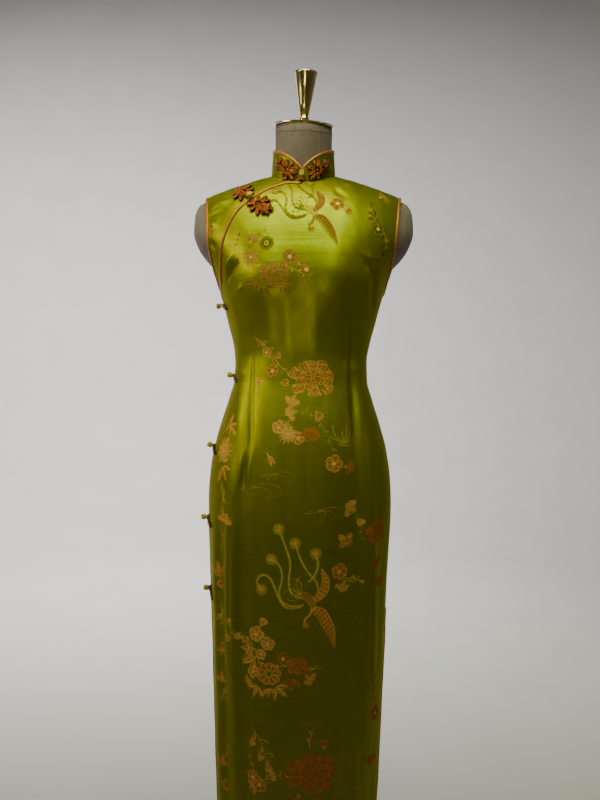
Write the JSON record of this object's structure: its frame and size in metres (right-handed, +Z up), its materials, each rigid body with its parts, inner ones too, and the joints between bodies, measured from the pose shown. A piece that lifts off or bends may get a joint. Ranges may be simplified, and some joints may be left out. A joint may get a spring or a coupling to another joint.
{
  "type": "cheongsam on dress form",
  "caption": "Long sleeveless cheongsam in brocade with stand collar, curved lapel, flower frogs and side slits, worn by a limbless dress form on a round base.",
  "frame": {"origin": "centre of the stand's base on the floor", "axes": "+Z up, the dress faces -Y, the wearer's left is +X"},
  "size_m": [0.3972, 0.34, 1.6379],
  "materials": {
    "satin": "lime green silk satin brocade with copper and gold figures",
    "binding": "rust satin bias binding and cord",
    "knot": "knotted yellow-gold satin cord",
    "linen": "grey-taupe linen cover",
    "brass": "aged satin brass",
    "stand": "aged satin brass"
  },
  "bodies": {
    "root": {"front": "satin", "underlap": "satin", "back": "satin", "collar": "satin", "binding_collar": "binding", "binding_opening": "binding", "binding_armhole_right": "binding", "binding_armhole_left": "binding", "binding_front_hem": "binding", "binding_back_hem": "binding", "frog_collar_right": "binding", "frog_collar_left": "binding", "frog_lapel_outer": "binding", "frog_lapel_inner": "binding", "frog_side_1": "binding", "frog_side_2": "binding", "frog_side_3": "binding", "frog_side_4": "binding", "frog_side_5": "binding", "button_collar": "knot", "button_lapel": "knot", "button_side_1": "knot", "button_side_2": "knot", "button_side_3": "knot", "button_side_4": "knot", "button_side_5": "knot", "form_torso": "linen", "neck_cap": "brass", "finial": "brass", "stand": "stand"}
  },
  "joints": []
}
